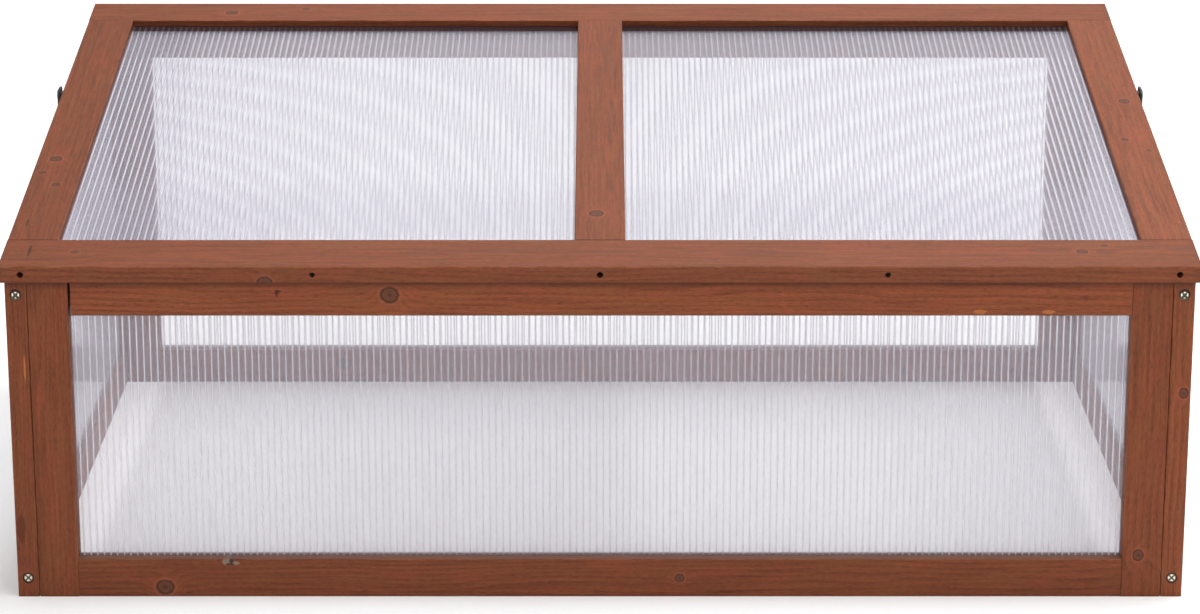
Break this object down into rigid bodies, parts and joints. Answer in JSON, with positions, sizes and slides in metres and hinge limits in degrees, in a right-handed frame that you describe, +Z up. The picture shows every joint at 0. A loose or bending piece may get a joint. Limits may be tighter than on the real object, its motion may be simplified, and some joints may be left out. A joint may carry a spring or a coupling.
{
  "type": "cold frame",
  "caption": "Bottomless wooden cold frame glazed with clear twin-wall sheet, with a sloping glazed lid hinged at the back and notched steel stays.",
  "frame": {"origin": "on the ground under the middle of the closed frame's bounding box", "axes": "+X along the width, to the right seen from the front; +Y from the low front to the high back; +Z up"},
  "size_m": [1.0152, 0.6517, 0.3879],
  "materials": {
    "stained_wood": "red-brown stain, open grain, lightly eased edges",
    "twin_wall_sheet": "clear ribbed twin-wall sheet, glossy",
    "zinc_screw": "yellow zinc plate",
    "hinge_steel": "bright zinc plate",
    "black_steel": "satin black"
  },
  "bodies": {
    "box": {"front_left_stile": "stained_wood", "front_right_stile": "stained_wood", "front_top_rail": "stained_wood", "front_bottom_rail": "stained_wood", "front_pane": "twin_wall_sheet", "back_left_stile": "stained_wood", "back_right_stile": "stained_wood", "back_top_rail": "stained_wood", "back_bottom_rail": "stained_wood", "back_pane": "twin_wall_sheet", "left_front_stile": "stained_wood", "left_back_stile": "stained_wood", "left_top_rail": "stained_wood", "left_bottom_rail": "stained_wood", "left_pane": "twin_wall_sheet", "right_front_stile": "stained_wood", "right_back_stile": "stained_wood", "right_top_rail": "stained_wood", "right_bottom_rail": "stained_wood", "right_pane": "twin_wall_sheet", "front_frame_screws": "zinc_screw", "back_frame_screws": "zinc_screw", "side_frame_screws": "zinc_screw", "corner_screws": "zinc_screw", "left_hinge_box_leaf": "hinge_steel", "right_hinge_box_leaf": "hinge_steel", "left_hinge_pin": "hinge_steel", "right_hinge_pin": "hinge_steel", "hinge_box_screws": "zinc_screw", "left_stay_peg": "black_steel", "right_stay_peg": "black_steel"},
    "lid": {"lid_front_rail": "stained_wood", "lid_back_rail": "stained_wood", "lid_left_rail": "stained_wood", "lid_right_rail": "stained_wood", "lid_mullion": "stained_wood", "lid_left_pane": "twin_wall_sheet", "lid_right_pane": "twin_wall_sheet", "lid_front_screws": "black_steel", "lid_back_screws": "black_steel", "lid_short_screws": "black_steel", "left_hinge_lid_leaf": "hinge_steel", "right_hinge_lid_leaf": "hinge_steel", "hinge_lid_screws": "zinc_screw", "left_stay_screw": "black_steel", "right_stay_screw": "black_steel", "left_stay_spacer": "black_steel", "right_stay_spacer": "black_steel"},
    "left_stay": {"left_stay": "black_steel"},
    "right_stay": {"right_stay": "black_steel"}
  },
  "joints": [
    {"name": "lid_hinge", "type": "hinge", "parent": "box", "child": "lid", "pos_m": [0, 0.32311, 0.37314], "axis": [-1, 0, 0], "range_deg": [0, 60]},
    {"name": "left_stay_pivot", "type": "hinge", "parent": "lid", "child": "left_stay", "pos_m": [-0.504, 0.08613, 0.34803], "axis": [1, 0, 0], "range_deg": [0, 60]},
    {"name": "right_stay_pivot", "type": "hinge", "parent": "lid", "child": "right_stay", "pos_m": [0.504, 0.08613, 0.34803], "axis": [1, 0, 0], "range_deg": [0, 60]}
  ]
}
